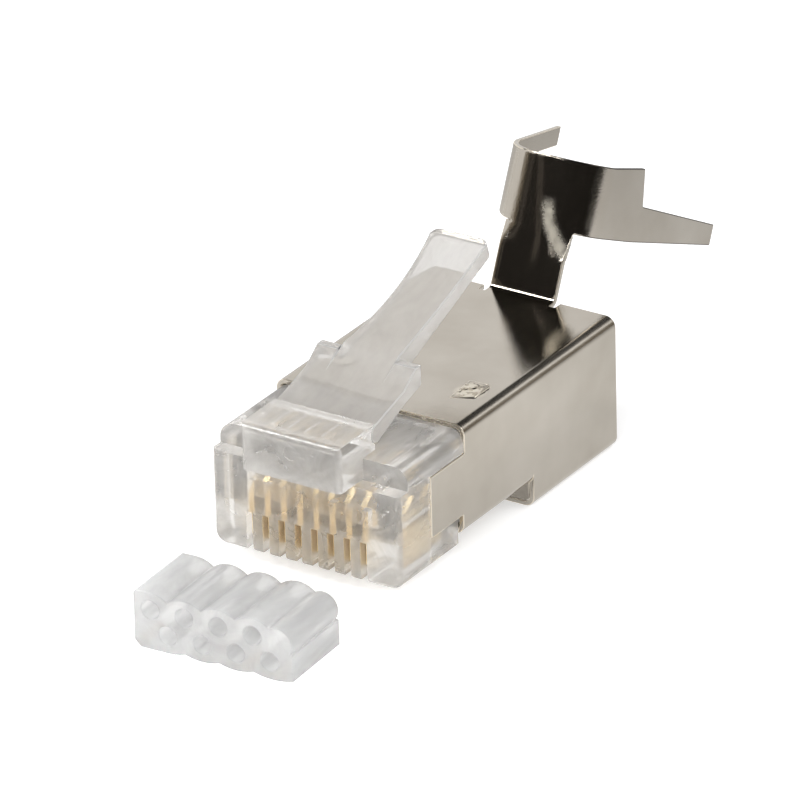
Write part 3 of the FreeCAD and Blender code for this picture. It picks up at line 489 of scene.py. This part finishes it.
# The clamp's own sizes, in mm: across the neck from its middle, and up it from its fold.
flare_start, saddle_low = 2.0, 3.55
sheet, long_bend, long_start = 0.28, 2.2, 0.70
short_bend, short_start = 1.4, -1.72
ease_start, ease_width, ease_low, ease_high = -0.9, 2.22, 2.2, 3.6
ridge_height, ridge_width, ridge_side, ridge_turn, ridge_drift = 0.028, 1.6, 0.25, 3.0, 0.2
ridge_flank, foot_flank, ridge_foot, ridge_full = 0.2, 0.15, 0.4, 2.4
clamp_low, clamp_left, clamp_right, clamp_front, clamp_rear = 0.25, -3.2, 2.4, -0.1, 1.7
cell, cell_rows, first_row, cell_columns, first_column = 0.15, 49, 0.35, 27, -1.65
cut_edge_width, arm_side, arm_back = 0.24, 0.9, 23.2


def step_between(low, high, x):
    """A soft step from 0 at low to 1 at high."""
    t = min(1.0, max(0.0, (x - low) / (high - low)))
    return t * t * (3 - 2 * t)


def ridge_at(x, rise):
    """The low ridge that folding leaves beside the long bend, broader at its foot."""
    crest = ridge_side - ridge_drift * max(0.0, rise - ridge_turn)
    flank = ridge_flank + foot_flank * max(0.0, ridge_turn - rise)
    return (ridge_height * step_between(crest - flank, crest + flank, x)
            * (1 - step_between(crest + flank, crest + ridge_width, x))
            * step_between(ridge_foot, ridge_full, rise))


def eased_short_bend(x, rise, depth):
    """How far a point moves back as the short bend opens into a wider one up the saddle."""
    aside = max(0.0, short_start - x)
    across = min(1.0, aside / max(1e-6, hypot(short_start - x, short_bend - depth)))
    along = x if x > short_start else short_start - short_bend * across
    reach = min(1.0, (ease_start - along) / ease_width)
    eased = short_bend * (1 - sqrt(max(0.0, 1 - reach ** 2)))
    was = short_bend * (1 - sqrt(1 - across ** 2))
    return (eased - was) * step_between(ease_low, ease_high, rise)


def long_bend_set_back(x, rise, depth):
    """The face of the sheet that a point lies on, and how far the bend sets it back."""
    bend = max(0.0, x - long_start)
    flared = min(1.0, max(0.0, (rise - flare_start) / (saddle_low - flare_start)))
    sides = []
    for base, radius in ((0.0, long_bend), (sheet, long_bend - sheet)):
        set_back = flared * (radius - sqrt(radius ** 2 - bend ** 2))
        sides.append((abs(depth - base - set_back), base, set_back))
    return min(sides)[1:]


def place_on_clamp(point):
    """A point's place across the neck, up it and behind its front face, in mm."""
    off = (point - neck_foot) / MM
    return off.x, off.dot(neck_up), off.dot(neck_back)


def on_clamp(point):
    """Whether a point lies on the neck or the saddle, with the starts of their bends."""
    x, rise, depth = place_on_clamp(point)
    return (rise > clamp_low and clamp_left < x < clamp_right
            and clamp_front < depth < clamp_rear)


def mark_cut_edges(shape):
    """Gives the narrow cut edges of the long arm the material of its rims."""
    cut_edges = []
    for face in shape.faces:
        centre, around = face.calc_center_median(), face.calc_perimeter()
        rimmed = sum(edge.calc_length() for edge in face.edges
                     if any(other.material_index == 1 for other in edge.link_faces))
        narrow = face.calc_area() < cut_edge_width / 2 * MM * around
        on_arm = centre.x > arm_side * MM and centre.y > arm_back * MM
        if narrow and on_arm and rimmed > 0.7 * around:
            cut_edges.append(face)
    for face in cut_edges:
        face.material_index = 1


def form_clamp(shape):
    """Cuts the neck and saddle into small cells, lays the flare on the long bend's own
    curve, raises the low ridge and eases the short bend."""
    mark_cut_edges(shape)
    cuts = [(neck_foot + neck_up * ((first_row + cell * k) * MM), neck_up)
            for k in range(cell_rows)]
    cuts += [(Vector(((first_column + cell * k) * MM, 0, 0)), Vector((1, 0, 0)))
             for k in range(cell_columns)]
    for at, across in cuts:
        faces = [face for face in shape.faces if on_clamp(face.calc_center_median())]
        edges = {edge for face in faces for edge in face.edges}
        verts = {vert for face in faces for vert in face.verts}
        bmesh.ops.bisect_plane(shape, geom=list(verts) + list(edges) + faces,
                               dist=0.002 * MM, plane_co=at, plane_no=across)
    for vert in shape.verts:
        if not on_clamp(vert.co):
            continue
        x, rise, depth = place_on_clamp(vert.co)
        formed = -ridge_at(x, rise)
        rim = any(face.material_index == 1 for face in vert.link_faces)
        if x > long_start and not rim:
            base, set_back = long_bend_set_back(x, rise, depth)
            formed += base + set_back - depth
        if x < ease_start:
            formed += eased_short_bend(x, rise, depth)
        vert.co += neck_back * (formed * MM)


shell = smooth_copy("shield", "shield_sheet", 0.055, shaping=form_clamp)
shell.data.materials.append(plated)
shell.data.materials.append(rim_glint_and_shade)
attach(shell, "root")
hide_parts("shield")

# ---------------------------------------------------------------- gold contacts
# Eight stamped blades, pressed into the nose's slots. They are plated with gold over
# nickel and paler where the gold is thin.
gold, tree, shader = new_material("contact_gold")
place = add(tree, "TexCoord", {}).outputs["Object"]
patch_noise = add(tree, "TexNoise", {"Vector": place, "Scale": 900.0, "Detail": 3.0})
put(tree, shader.inputs["Metallic"], 0.85)
put(tree, shader.inputs["Roughness"], 0.30)
put(tree, shader.inputs["Base Color"], two_tones(
    tree, patch_noise.outputs["Fac"], 0.35, (0.74, 0.53, 0.22), 0.75, (0.92, 0.76, 0.44)))
for number in range(1, 9):
    blade = nodes[f"contact_{number}"]
    blade.data.materials.clear()
    blade.data.materials.append(gold)
